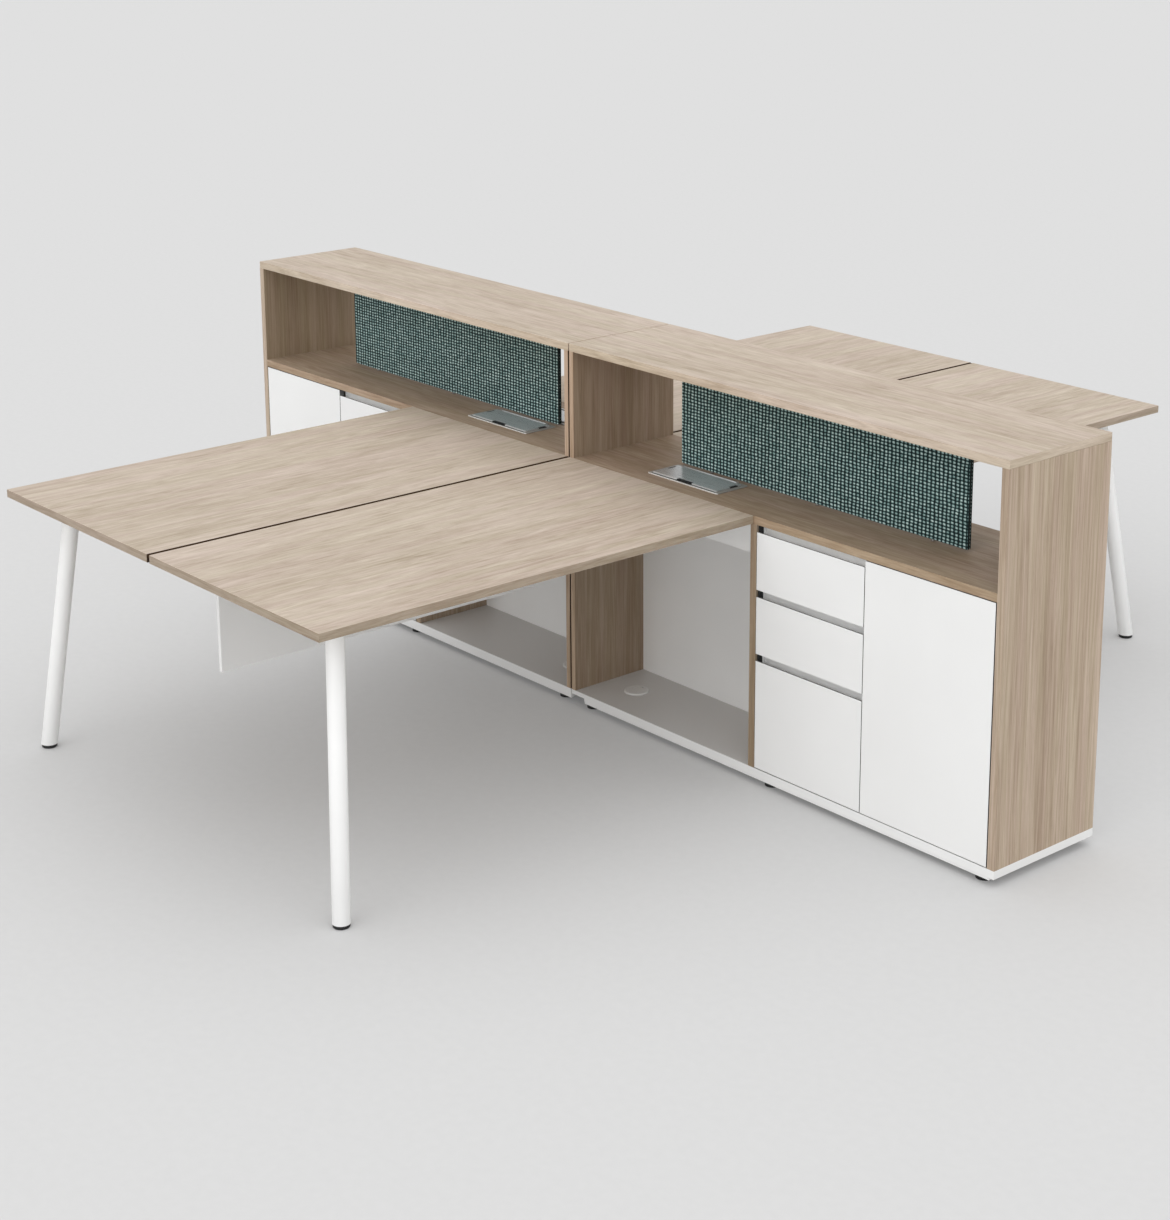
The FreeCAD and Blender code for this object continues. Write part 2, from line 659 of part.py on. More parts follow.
def power_tub(side):
    """Frame on the shelf, open tub below it and two drilled lugs for the lid, in one piece."""
    x, y = power_centre(side)
    frame_top = DESK_HEIGHT + POWER_FRAME_T
    floor = DESK_HEIGHT - TUB_DEPTH
    frame = centred_block(x, y, POWER_FRAME_LENGTH, POWER_FRAME_WIDTH, (DESK_HEIGHT, frame_top))
    corners = [edge for edge in frame.Edges if edge.BoundBox.ZLength > POWER_FRAME_T / 2]
    frame = frame.makeFillet(POWER_FRAME_RADIUS, corners)
    tub = centred_block(x, y, TUB_LENGTH, TUB_WIDTH, (floor, DESK_HEIGHT))
    skin = 2 * TUB_WALL
    well = centred_block(x, y, TUB_LENGTH - skin, TUB_WIDTH - skin, (floor + TUB_WALL, frame_top))
    back, height = lid_axis()
    body = frame.fuse(tub).cut(well)
    for end in (-1, 1):
        inner = x + end * (BARREL_LENGTH / 2 + LUG_CLEARANCE)
        outer = inner + end * LUG_T
        lug_y = (y + back - LUG_SIZE / 2, y + back + LUG_SIZE / 2)
        lug = block((inner, outer), lug_y, (frame_top, height + LUG_SIZE / 2))
        lug = lug.cut(rod_x(LID_PIN_D + 2 * LUG_CLEARANCE, inner, outer, y + back, height))
        body = body.fuse(lug)
    return body.removeSplitter()


def power_lid(side):
    """Flat lid with cable slots in its front edge and both ends, and a hinge barrel along its rear edge."""
    x, y = power_centre(side)
    back, height = lid_axis()
    low = DESK_HEIGHT + POWER_FRAME_T + LID_LIFT
    high = low + LID_T
    half_length = TUB_LENGTH / 2 + LID_OVERLAP
    front = y - TUB_WIDTH / 2 - LID_OVERLAP
    rear = y + back - LUG_SIZE / 2 - LUG_RELIEF
    lid = block((x - half_length, x + half_length), (front, rear), (low, high))
    lid = lid.fuse(block((x - BARREL_LENGTH / 2, x + BARREL_LENGTH / 2), (rear, y + back), (low, high)))
    lid = lid.fuse(rod_x(BARREL_D, x - BARREL_LENGTH / 2, x + BARREL_LENGTH / 2, y + back, height))
    pin_reach = BARREL_LENGTH / 2 + LUG_CLEARANCE + LUG_T
    lid = lid.fuse(rod_x(LID_PIN_D, x - pin_reach, x + pin_reach, y + back, height))
    edge = LID_OVERLAP + TUB_WALL
    lid = lid.cut(block(
        (x - LID_SLOT_LENGTH / 2, x + LID_SLOT_LENGTH / 2),
        (front, front + edge + LID_SLOT_WIDTH),
        (low, high),
    ))
    slot_y = y + LID_END_SLOT_BACK
    for end in (-1, 1):
        lid = lid.cut(block(
            (x + end * half_length, x + end * (half_length - edge - LID_END_SLOT_WIDTH)),
            (slot_y - LID_END_SLOT_LENGTH / 2, slot_y + LID_END_SLOT_LENGTH / 2),
            (low, high),
        ))
    return lid.removeSplitter()


def socket_module(side):
    """Strip of round socket wells on the floor of the tub."""
    x, y = power_centre(side)
    floor = DESK_HEIGHT - TUB_DEPTH + TUB_WALL
    top = floor + SOCKET_HEIGHT
    strip = centred_block(x, y, SOCKET_LENGTH, SOCKET_WIDTH, (floor, top))
    pitch = SOCKET_LENGTH / SOCKET_COUNT
    for index in range(SOCKET_COUNT):
        centre = x - SOCKET_LENGTH / 2 + pitch * (index + 0.5)
        strip = strip.cut(rod_z(SOCKET_WELL_D, centre, y, top - SOCKET_WELL_DEPTH, top))
    return strip


def desktop(side):
    return block(
        (side * DESKTOP_SPLIT / 2, side * DESK_EDGE),
        (-DESK_END, -HALF_DEPTH - DESKTOP_JOINT),
        (DESKTOP_UNDER, DESK_HEIGHT),
    )


def desk_leg(side):
    """Splayed tube, cut level at its plate and at its foot."""
    foot = Vector(side * LEG_FOOT_X, -LEG_FOOT_Y, LEG_FOOT_H)
    head = Vector(side * LEG_TOP_X, -LEG_TOP_Y, DESKTOP_UNDER - LEG_PLATE_T)
    along = head - foot
    spare = Vector(along).normalize() * LEG_D
    start = foot - spare
    length = along.Length + 2 * LEG_D
    tube = Part.makeCylinder(LEG_D / 2, length, start, along)
    tube = tube.cut(Part.makeCylinder(LEG_D / 2 - LEG_WALL, length, start, along))
    reach = max(LEG_SPLAY_X, LEG_SPLAY_Y) + 2 * LEG_D
    slab = block((foot.x - reach, foot.x + reach), (foot.y - reach, foot.y + reach), (foot.z, head.z))
    return tube.common(slab)


def leg_foot(side):
    radius = LEG_FOOT_D / 2
    outline = [
        (0, 0), (radius - LEG_FOOT_EDGE, 0), (radius, LEG_FOOT_EDGE), (radius, LEG_FOOT_H), (0, LEG_FOOT_H),
    ]
    return turned(outline, Vector(side * LEG_FOOT_X, -LEG_FOOT_Y, 0))


def box_beam(xs, ys, along_x):
    """Hollow steel beam under the desktop, open at its two ends."""
    beam = block(xs, ys, (BEAM_UNDER, DESKTOP_UNDER))
    low_x, high_x = min(xs), max(xs)
    low_y, high_y = min(ys), max(ys)
    if along_x:
        bore_x, bore_y = (low_x, high_x), (low_y + BEAM_WALL, high_y - BEAM_WALL)
    else:
        bore_x, bore_y = (low_x + BEAM_WALL, high_x - BEAM_WALL), (low_y, high_y)
    return beam.cut(block(bore_x, bore_y, (BEAM_UNDER + BEAM_WALL, DESKTOP_UNDER - BEAM_WALL)))


def desk_frame():
    """Leg plates, beams and joining plates of the near wing."""
    half_beam = BEAM_WIDTH / 2
    half_plate = LEG_PLATE / 2
    join_outer = -HALF_DEPTH + TRAY_SETBACK - JOIN_PLATE_END_GAP - JOIN_PLATE_WIDTH
    cross_x = LEG_TOP_X - half_plate
    pieces = [
        box_beam((-cross_x, cross_x), (-LEG_TOP_Y - half_beam, -LEG_TOP_Y + half_beam), True),
        box_beam((-half_beam, half_beam), (-LEG_TOP_Y + half_beam, -HALF_DEPTH), False),
    ]
    for side in SIDES.values():
        x = side * LEG_TOP_X
        plate = (DESKTOP_UNDER - LEG_PLATE_T, DESKTOP_UNDER)
        pieces.append(centred_block(x, -LEG_TOP_Y, LEG_PLATE, LEG_PLATE, plate))
        beam_run = (-LEG_TOP_Y + half_plate, join_outer)
        pieces.append(box_beam((x - half_beam, x + half_beam), beam_run, False))
        pieces.append(block(
            (side * (CENTRE_FACE + JOIN_PLATE_END_GAP), side * (BAY_OUT - JOIN_PLATE_END_GAP)),
            (join_outer, join_outer + JOIN_PLATE_WIDTH),
            (DESKTOP_UNDER - JOIN_PLATE_T, DESKTOP_UNDER),
        ))
    return pieces


def modesty_panel():
    return block(
        (-MODESTY_T / 2, MODESTY_T / 2),
        (-DESK_END + MODESTY_OUTER_INSET, -HALF_DEPTH - MODESTY_INNER_INSET),
        (BEAM_UNDER - MODESTY_HEIGHT, BEAM_UNDER),
    )


os.makedirs("parts", exist_ok=True)

both = SIDES.values()
for name, side in SIDES.items():
    save(f"base_board_{name}", base_board(side))
    save(f"end_panel_{name}", end_panel(side))
    save(f"shelf_{name}", shelf_board(side))
    save(f"top_board_{name}", top_board(side))
    save(f"screen_{name}", screen(side))
    save(f"cupboard_door_{name}", cupboard_door(side))
    save(f"latch_plunger_{name}", latch_plunger(side))
    save(f"power_lid_near_{name}", power_lid(side))
    save(f"power_lid_far_{name}", to_far(power_lid(side)))
    save(f"desktop_near_{name}", desktop(side))
    save(f"desktop_far_{name}", to_far(desktop(side)))
    for level, (low, high) in drawer_fronts().items():
        save(f"drawer_front_{name}_{level}", drawer_front(side, low, high))
        save(f"drawer_box_{name}_{level}", *drawer_box(side, low, high))
        save(f"drawer_pull_{name}_{level}", drawer_pull(side, high))

front_lows = [low for low, high in drawer_fronts().values()]
runners = [piece for side in both for low in front_lows for piece in drawer_runners(side, low)]
tubs = [power_tub(side) for side in both]
sockets = [socket_module(side) for side in both]
legs = [desk_leg(side) for side in both]
feet = [leg_foot(side) for side in both]

save("levelling_feet", *levelling_feet())
save("centre_panels", *(centre_panel(side) for side in both))
save("bay_partitions", *(bay_partition(side) for side in both))
save("cupboard_dividers", *(cupboard_divider(side) for side in both))
save("bay_back_panels", *(bay_back(side) for side in both))
save("storage_back_panels", *(storage_back(side) for side in both))
save("screen_mounts", *(pin for side in both for pin in screen_mounts(side)))
save("cupboard_shelves", *(cupboard_shelf(side) for side in both))
save("carcass_fixings", *(pin for side in both for pin in shelf_pins(side)), *unit_bolts())
save("drawer_runners", *runners)
save("door_pivots", *(pin for side in both for pin in door_pivots(side)))
save("latch_housings", *(latch_housing(side) for side in both))
save("cable_trays", *(cable_tray(side) for side in both))
save("cable_grommets", *(piece for side in both for piece in cable_grommet(side)))
save("power_tubs", *tubs, *map(to_far, tubs))
save("socket_modules", *sockets, *map(to_far, sockets))
save("desk_legs", *legs, *map(to_far, legs))
save("leg_feet", *feet, *map(to_far, feet))
save("desk_frames", *desk_frame(), *map(to_far, desk_frame()))
save("modesty_panels", modesty_panel(), to_far(modesty_panel()))
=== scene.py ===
import math

import bmesh
import bpy
from mathutils import Matrix, Vector


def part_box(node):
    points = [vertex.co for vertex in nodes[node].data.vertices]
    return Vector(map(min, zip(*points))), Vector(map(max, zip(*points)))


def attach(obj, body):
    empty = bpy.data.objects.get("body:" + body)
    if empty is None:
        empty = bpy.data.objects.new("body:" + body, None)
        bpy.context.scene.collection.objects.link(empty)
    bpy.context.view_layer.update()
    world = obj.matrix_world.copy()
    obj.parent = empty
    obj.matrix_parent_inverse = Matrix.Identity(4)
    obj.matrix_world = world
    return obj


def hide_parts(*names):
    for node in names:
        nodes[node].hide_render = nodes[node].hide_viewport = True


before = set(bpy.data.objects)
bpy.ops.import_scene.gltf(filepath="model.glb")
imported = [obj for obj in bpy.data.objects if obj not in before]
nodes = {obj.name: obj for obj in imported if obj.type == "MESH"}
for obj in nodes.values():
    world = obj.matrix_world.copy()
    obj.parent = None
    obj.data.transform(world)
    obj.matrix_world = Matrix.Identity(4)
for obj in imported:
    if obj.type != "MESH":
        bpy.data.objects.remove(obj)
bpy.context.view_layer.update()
SPINE = "spine_and_desks"
SIDES = {"left": -1, "right": 1}
WINGS = {"near": -1, "far": 1}
LEVELS = ("upper", "middle", "lower")

# Spans that most values of a noise fill
NOISE_SPAN = (0.3, 0.7)
FINE_SPAN = (0.35, 0.65)
LINE_SPAN = (0.25, 0.75)

# Part of a normal along an axis, above which a face looks along it, and below which it is an edge
FACING = 0.7
EDGE_FACING = 0.5

# Depth of the finest skins, in metres
SKIN_DEPTH = 0.0002


def linear(*rgb):
    """An sRGB colour in 0 to 255 as a linear RGBA colour."""
    channels = [c / 255 for c in rgb]
    return (*[c / 12.92 if c <= 0.04045 else ((c + 0.055) / 1.055) ** 2.4 for c in channels], 1.0)


def shifted(rgb, change):
    """A colour with the same change of tone in each channel."""
    return tuple(c + change for c in rgb)


def shades(places, *colours):
    """Stops of a ramp from sRGB colours."""
    return [(place, linear(*rgb)) for place, rgb in zip(places, colours)]


class Surface:
    """One node material, made from a Principled shader."""

    def __init__(self, name, **sockets):
        self.material = bpy.data.materials.new(name)
        self.material.use_nodes = True
        self.tree = self.material.node_tree
        self.shader = self.tree.nodes["Principled BSDF"]
        for socket, value in sockets.items():
            self.shader.inputs[socket.replace("_", " ")].default_value = value
        self.coords = self.tree.nodes.new("ShaderNodeTexCoord").outputs["Object"]

    def node(self, kind, inputs=None, **settings):
        made = self.tree.nodes.new(kind)
        for key, value in settings.items():
            setattr(made, key, value)
        for key, value in (inputs or {}).items():
            if isinstance(value, bpy.types.NodeSocket):
                self.tree.links.new(value, made.inputs[key])
            else:
                made.inputs[key].default_value = value
        return made

    def to_shader(self, socket, output):
        self.tree.links.new(output, self.shader.inputs[socket])

    def noise(self, scale, offset=(0, 0, 0), detail=2.0, roughness=0.5, distortion=0.0):
        """Noise over the object's own coordinates, with a scale for each axis."""
        placed = {"Vector": self.coords, "Scale": scale, "Location": offset}
        inputs = {
            "Vector": self.node("ShaderNodeMapping", placed).outputs[0],
            "Scale": 1.0, "Detail": detail, "Roughness": roughness, "Distortion": distortion,
        }
        return self.node("ShaderNodeTexNoise", inputs).outputs["Fac"]

    def parts(self, vector):
        return self.node("ShaderNodeSeparateXYZ", {"Vector": vector}).outputs

    def math(self, operation, first, second=0.0, third=0.0):
        return self.node("ShaderNodeMath", {0: first, 1: second, 2: third}, operation=operation).outputs[0]

    def ramp(self, factor, stops):
        made = self.node("ShaderNodeValToRGB", {"Fac": factor})
        elements = made.color_ramp.elements
        while len(elements) < len(stops):
            elements.new(0.5)
        for element, (place, colour) in zip(elements, stops):
            element.position = place
            element.color = colour
        return made.outputs["Color"]

    def blend(self, mode, factor, first, second):
        inputs = {"Factor": factor, "A": first, "B": second}
        return self.node("ShaderNodeMix", inputs, data_type="RGBA", blend_type=mode).outputs["Result"]

    def span(self, factor, source, target):
        """Carries one span of values over to another."""
        names = ("Value", "From Min", "From Max", "To Min", "To Max")
        inputs = dict(zip(names, (factor, *source, *target)))
        return self.node("ShaderNodeMapRange", inputs).outputs["Result"]

    def bump(self, height, strength, distance):
        inputs = {"Height": height, "Strength": strength, "Distance": distance}
        self.to_shader("Normal", self.node("ShaderNodeBump", inputs).outputs["Normal"])


def even(scale):
    """A texture scale that is the same along each axis."""
    return (scale, scale, scale)


def along(axis, grain, run=1.0):
    """A texture scale that draws a pattern out along one axis. A smaller run draws it out further."""
    length, cross = grain
    scale = [cross] * 3
    scale["XYZ".index(axis)] = length * run
    return tuple(scale)


# Oak grain, in waves per metre along the grain and across it
BROAD_GRAIN = (1.3, 9.0)
STREAK_GRAIN = (5.0, 64.0)
FIBRE_GRAIN = (15.0, 270.0)
PORE_GRAIN = (24.0, 800.0)
DRIFT_GRAIN = (1.2, 26.0)
DRIFT_OFFSET = (0.3, 0.7, 0.2)

# Shares of the layers in the oak's tone, and the tones at which its shades stand
STREAK_SHARE = 0.46
FIBRE_SHARE = 0.34
BROAD_SHARE = 0.20
OAK_PLACES = (0.34, 0.45, 0.53, 0.66)

# Slow change of cast along the board, and dark pores
CAST_PLACES = (0.36, 0.64)
CASTS = ((1.0, 0.975, 0.98, 1.0), (0.99, 1.0, 0.955, 1.0))
PORE_SPAN = (0.58, 0.74)
PORE_STRENGTH = (0.0, 0.3)
PORE_BROWN = (120, 101, 84)
# Painted shade beside the joints
SEAM_SHADE_BROWN = (60, 42, 26)
OAK_ROUGHNESS = (0.50, 0.64)
OAK_BUMP = 0.0003

# Product of a face's place and its normal along X, below which the face looks towards the middle
INNER_LIMIT = -0.5

# Sockets of a mix node that carry vectors
VECTOR_A, VECTOR_B, VECTOR_RESULT = 4, 5, 1


def oak(name, axis, face, offset, stops, edge, run=1.0, seam=0.0, inner=None):
    """Pale oak laminate: streaks and fine fibres along one axis, with edge bands that run along their edge.

    A smaller run draws the grain out longer. Within the seam, on both sides of the middle, the board is dark:
    painted shade of the joint.
    Faces that look towards the middle can take an inner tint, which is painted shade.
    """
    made = Surface(name, Specular_IOR_Level=0.3)
    place = made.parts(made.coords)
    swapped = {"X": place["Y"], "Y": place["X"], "Z": place["Z"]}
    turned = made.node("ShaderNodeCombineXYZ", swapped).outputs[0]
    looks = made.parts(made.node("ShaderNodeNewGeometry").outputs["Normal"])
    on_end = made.math("GREATER_THAN", made.math("ABSOLUTE", looks[axis]), FACING)
    on_edge = made.math("LESS_THAN", made.math("ABSOLUTE", looks[face]), EDGE_FACING)
    inputs = {"Factor": on_end, VECTOR_A: made.coords, VECTOR_B: turned}
    made.coords = made.node("ShaderNodeMix", inputs, data_type="VECTOR").outputs[VECTOR_RESULT]
    broad = made.noise(along(axis, BROAD_GRAIN, run), offset)
    streaks = made.noise(along(axis, STREAK_GRAIN, run), offset, detail=4.0, roughness=0.66, distortion=0.9)
    fibres = made.noise(along(axis, FIBRE_GRAIN, run), offset, detail=4.0, roughness=0.62)
    pores = made.noise(along(axis, PORE_GRAIN), offset)
    tone = made.math("MULTIPLY_ADD", streaks, STREAK_SHARE, made.math("MULTIPLY", fibres, FIBRE_SHARE))
    tone = made.math("MULTIPLY_ADD", broad, BROAD_SHARE, tone)
    colour = made.ramp(tone, shades(OAK_PLACES, *stops))
    drift = made.noise(along(axis, DRIFT_GRAIN), DRIFT_OFFSET)
    colour = made.blend("MULTIPLY", 1.0, colour, made.ramp(drift, list(zip(CAST_PLACES, CASTS))))
    dark = made.span(pores, PORE_SPAN, PORE_STRENGTH)
    colour = made.blend("MIX", dark, colour, linear(*PORE_BROWN))
    # Edge tint, multiplied into the edge faces: above 1 it is painted light that lifts the edges of the top
    # board, shelf and centre panels; below 1 it darkens the edges of the desktops and partitions
    colour = made.blend("MULTIPLY", on_edge, colour, (*edge, 1.0))
    # Painted shade: a dark band on both sides of the joint
    if seam:
        in_seam = made.math("LESS_THAN", made.math("ABSOLUTE", place["X"]), seam)
        colour = made.blend("MIX", in_seam, colour, linear(*SEAM_SHADE_BROWN))
    # Painted shade on faces that look towards the middle
    if inner:
        outward = made.math("MULTIPLY", place["X"], looks["X"])
        inner_painted_shade = made.math("LESS_THAN", outward, INNER_LIMIT)
        colour = made.blend("MULTIPLY", inner_painted_shade, colour, (*inner, 1.0))
    made.to_shader("Base Color", colour)
    made.to_shader("Roughness", made.span(fibres, NOISE_SPAN, OAK_ROUGHNESS))
    made.bump(made.math("SUBTRACT", fibres, dark), strength=0.2, distance=OAK_BUMP)
    return made.material


LAMINATE_CLOUD = even(3)
LAMINATE_SKIN = even(900)
LAMINATE_DARKER = -4
LAMINATE_PALER = 2
LAMINATE_ROUGHNESS = (0.36, 0.46)


def orange_peel(made):
    """Very fine skin of a smooth board, in its gloss and its bumps."""
    skin = made.noise(LAMINATE_SKIN)
    made.to_shader("Roughness", made.span(skin, NOISE_SPAN, LAMINATE_ROUGHNESS))
    made.bump(skin, strength=0.08, distance=SKIN_DEPTH)


def laminate(name, colour):
    """Smooth board with a faint cast."""
    made = Surface(name, Specular_IOR_Level=0.4)
    stops = shades(NOISE_SPAN, shifted(colour, LAMINATE_DARKER), shifted(colour, LAMINATE_PALER))
    made.to_shader("Base Color", made.ramp(made.noise(LAMINATE_CLOUD), stops))
    orange_peel(made)
    return made.material


def two_tone_laminate(name, main, other, axis, facing_main):
    """Smooth board with one tone on the faces along an axis and another on the rest."""
    made = Surface(name, Specular_IOR_Level=0.4)
    normal = made.node("ShaderNodeTexCoord").outputs["Normal"]
    facing = made.math("GREATER_THAN", made.math("ABSOLUTE", made.parts(normal)[axis]), FACING)
    stops = shades(NOISE_SPAN, shifted(main, LAMINATE_DARKER), main)
    pale = made.ramp(made.noise(LAMINATE_CLOUD), stops)
    pair = (linear(*other), pale) if facing_main else (pale, linear(*other))
    made.to_shader("Base Color", made.blend("MIX", facing, *pair))
    orange_peel(made)
    return made.material


POWDER_CLOUD = even(5)
POWDER_SKIN = even(1400)
POWDER_DARKER = -5
POWDER_ROUGHNESS = (0.30, 0.42)


def powder_coat(name, colour):
    """Painted steel with a fine pebbled skin."""
    made = Surface(name, Specular_IOR_Level=0.45)
    grain = made.noise(POWDER_SKIN, detail=1.0)
    stops = shades(NOISE_SPAN, shifted(colour, POWDER_DARKER), colour)
    made.to_shader("Base Color", made.ramp(made.noise(POWDER_CLOUD), stops))
    made.to_shader("Roughness", made.span(grain, NOISE_SPAN, POWDER_ROUGHNESS))
    made.bump(grain, strength=0.12, distance=SKIN_DEPTH)
    return made.material


BRUSH_GRAIN = (9.0, 1500.0)
BRUSH_CLOUD = even(14)
BRUSH_SWING = 0.07
LINE_SHARE = 0.65
CLOUD_SHARE = 0.35
LID_ROUGHNESS = (0.24, 0.36)
RIM_DARKER = -14
RIM_ROUGHNESS = (0.3, 0.44)


def brush_lines(made, axis):
    """Fine lines along one axis, as a brush leaves them."""
    return made.noise(along(axis, BRUSH_GRAIN), detail=4.0, roughness=0.7)


def brushed(name, axis, dark, light, roughness, metallic=1.0):
    """Metal with fine brush lines along one axis."""
    made = Surface(name, Metallic=metallic)
    lines = brush_lines(made, axis)
    clouds = made.math("MULTIPLY", made.noise(BRUSH_CLOUD), CLOUD_SHARE)
    tone = made.math("MULTIPLY_ADD", lines, LINE_SHARE, clouds)
    made.to_shader("Base Color", made.ramp(tone, shades(FINE_SPAN, dark, light)))
    swing = (roughness - BRUSH_SWING, roughness + BRUSH_SWING)
    made.to_shader("Roughness", made.span(lines, LINE_SPAN, swing))
    made.bump(lines, strength=0.12, distance=SKIN_DEPTH)
    return made.material


def beyond(made, distance):
    """1 where a surface lies further than a distance from the plane between the two wings."""
    return made.math("GREATER_THAN", made.math("ABSOLUTE", made.parts(made.coords)["Y"]), distance)


def lid_metal(name, dark, light, front, highlight):
    """Brushed metal lid with a painted highlight, a pale strip along its front edge."""
    made = Surface(name, Metallic=0.6)
    lines = brush_lines(made, "X")
    shade = made.ramp(lines, shades(FINE_SPAN, dark, light))
    made.to_shader("Base Color", made.blend("MIX", beyond(made, front), shade, linear(*highlight)))
    made.to_shader("Roughness", made.span(lines, LINE_SPAN, LID_ROUGHNESS))
    made.bump(lines, strength=0.1, distance=SKIN_DEPTH)
    return made.material


def lipped_metal(name, rim_height, front, rim, highlight, inside):
    """Brushed frame with a painted highlight, a pale strip along its front edge above a height, and a dark
    trough below it.
    """
    made = Surface(name, Metallic=0.3)
    lines = brush_lines(made, "X")
    shade = made.ramp(lines, shades(NOISE_SPAN, shifted(rim, RIM_DARKER), rim))
    edged = made.blend("MIX", beyond(made, front), shade, linear(*highlight))
    above = made.math("GREATER_THAN", made.parts(made.coords)["Z"], rim_height)
    made.to_shader("Base Color", made.blend("MIX", above, linear(*inside), edged))
    made.to_shader("Roughness", made.span(lines, LINE_SPAN, RIM_ROUGHNESS))
    made.bump(lines, strength=0.1, distance=SKIN_DEPTH)
    return made.material


MOULD_GRAIN = even(1100)
MOULD_PALER = 8
MOULD_SWING = 0.06


def moulded(name, colour, roughness, specular=0.4):
    """Moulded plastic with a spark-eroded texture."""
    made = Surface(name, Specular_IOR_Level=specular)
    grain = made.noise(MOULD_GRAIN)
    made.to_shader("Base Color", made.ramp(grain, shades(FINE_SPAN, colour, shifted(colour, MOULD_PALER))))
    swing = (roughness - MOULD_SWING, roughness + MOULD_SWING)
    made.to_shader("Roughness", made.span(grain, NOISE_SPAN, swing))
    made.bump(grain, strength=0.2, distance=SKIN_DEPTH)
    return made.material


# Weave: how far its rows wander, how sharp its knots are, and its shades from gap to knot
WANDER_SCALE = even(38)
WANDER = (-0.12, 0.12)
COLUMN_POWER = 0.8
ROW_POWER = 0.7
PATCH_SCALE = (70, 70, 150)
PATCH_LEVELS = (0.72, 1.12)
THREAD_SCALE = (500, 500, 1800)
THREAD_LEVELS = (0.85, 1.1)
THREAD_RISE = 0.15
WEAVE_BUMP = 0.0012
WEAVE_PLACES = (0.14, 0.42, 0.68, 0.95)
WEAVE_TEALS = ((7, 22, 24), (42, 76, 76), (138, 172, 171), (214, 232, 230))


def woven(name, pitch_x, pitch_z):
    """Coarse teal weave: pale knots in rows and columns with dark gaps between them."""
    made = Surface(name, Roughness=0.9, Specular_IOR_Level=0.15, Sheen_Weight=0.25, Sheen_Roughness=0.5)
    drift = made.span(made.noise(WANDER_SCALE), NOISE_SPAN, WANDER)
    place = made.parts(made.coords)
    across = made.math("ADD", made.math("DIVIDE", place["X"], pitch_x), drift)
    up = made.math("SUBTRACT", made.math("DIVIDE", place["Z"], pitch_z), drift)
    column = made.math("ABSOLUTE", made.math("SINE", made.math("MULTIPLY", across, math.pi)))
    row = made.math("ABSOLUTE", made.math("SINE", made.math("MULTIPLY", up, math.pi)))
    knot = made.math("MULTIPLY", made.math("POWER", column, COLUMN_POWER), made.math("POWER", row, ROW_POWER))
    patch = made.noise(PATCH_SCALE, detail=3.0, roughness=0.6)
    thread = made.noise(THREAD_SCALE, detail=3.0, roughness=0.6)
    tone = made.math("MULTIPLY", knot, made.span(patch, NOISE_SPAN, PATCH_LEVELS))
    tone = made.math("MULTIPLY", tone, made.span(thread, NOISE_SPAN, THREAD_LEVELS))
    made.to_shader("Base Color", made.ramp(tone, shades(WEAVE_PLACES, *WEAVE_TEALS)))
    made.bump(made.math("MULTIPLY_ADD", thread, THREAD_RISE, knot), strength=0.6, distance=WEAVE_BUMP)
    return made.material


# Painted shade beside the joints of the desktops and of the units, as dark bands, and their reach from the
# middle
DESK_JOINT_SHADE = 0.0021
UNIT_JOINT_SHADE = 0.001
DESK_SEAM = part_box("desktop_near_right")[0].x + DESK_JOINT_SHADE
UNIT_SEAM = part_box("top_board_right")[0].x + UNIT_JOINT_SHADE

# Painted highlights, pale strips along the front edges of the power boxes, and the height at which the
# frame's rim starts
HIGHLIGHT_WIDTH = 0.0045
RIM_LIFT = 0.0002
LID_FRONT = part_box("power_lid_far_right")[1].y - HIGHLIGHT_WIDTH
TUB_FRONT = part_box("power_tubs")[1].y - HIGHLIGHT_WIDTH
TUB_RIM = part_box("shelf_right")[1].z + RIM_LIFT

# Four shades of oak, from dark to pale, for level and upright boards, and for those in shelter;
# the last two sets are darker copies of the same oak, painted shade: lighter for the partitions, deeper for
# the shelves and centre panels
OAK_LEVEL = ((157, 140, 123), (179, 164, 148), (191, 177, 163), (207, 194, 180))
OAK_UPRIGHT = ((157, 137, 116), (180, 161, 141), (195, 177, 158), (212, 195, 177))
OAK_SHADE_PAINTED = ((140, 120, 100), (161, 142, 123), (174, 156, 138), (190, 174, 156))
OAK_DEEP_SHADE_PAINTED = ((128, 107, 87), (148, 128, 108), (161, 142, 123), (178, 160, 142))
# Edge tints above 1 are painted light on the edges
OAK_TOP = oak(
    "oak_top", "X", "Z", offset=(0.0, 0.37, 0.0), stops=OAK_LEVEL, edge=(1.2, 1.19, 1.16))
# Seam: painted shade beside the joint between the desktops
OAK_DESK = oak(
    "oak_desk", "Y", "Z", offset=(0.23, 0.0, 0.0), stops=OAK_LEVEL, edge=(0.78, 0.75, 0.7), seam=DESK_SEAM)
OAK_SHELF = oak(
    "oak_shelf", "X", "Z", offset=(0.0, 0.83, 0.0), stops=OAK_DEEP_SHADE_PAINTED, edge=(1.19, 1.15, 1.09))
# Inner tint: painted shade on the end panels' inner faces
OAK_END = oak(
    "oak_end", "Z", "X", offset=(0.0, 0.61, 0.4), stops=OAK_UPRIGHT, edge=(1.0, 1.0, 1.0), run=0.3,
    inner=(0.68, 0.65, 0.58))
# Seam: painted shade beside the joint between the units
OAK_CENTRE = oak(
    "oak_centre", "Z", "X", offset=(0.5, 0.17, 0.0), stops=OAK_DEEP_SHADE_PAINTED, edge=(1.5, 1.5, 1.5), run=0.4,
    seam=UNIT_SEAM)
OAK_PARTITION = oak(
    "oak_partition", "Z", "X", offset=(0.2, 0.4, 0.0), stops=OAK_SHADE_PAINTED, edge=(0.85, 0.8, 0.72), run=0.4)
BOARD_WHITE = (247, 247, 246)
WHITE = laminate("white_laminate", BOARD_WHITE)
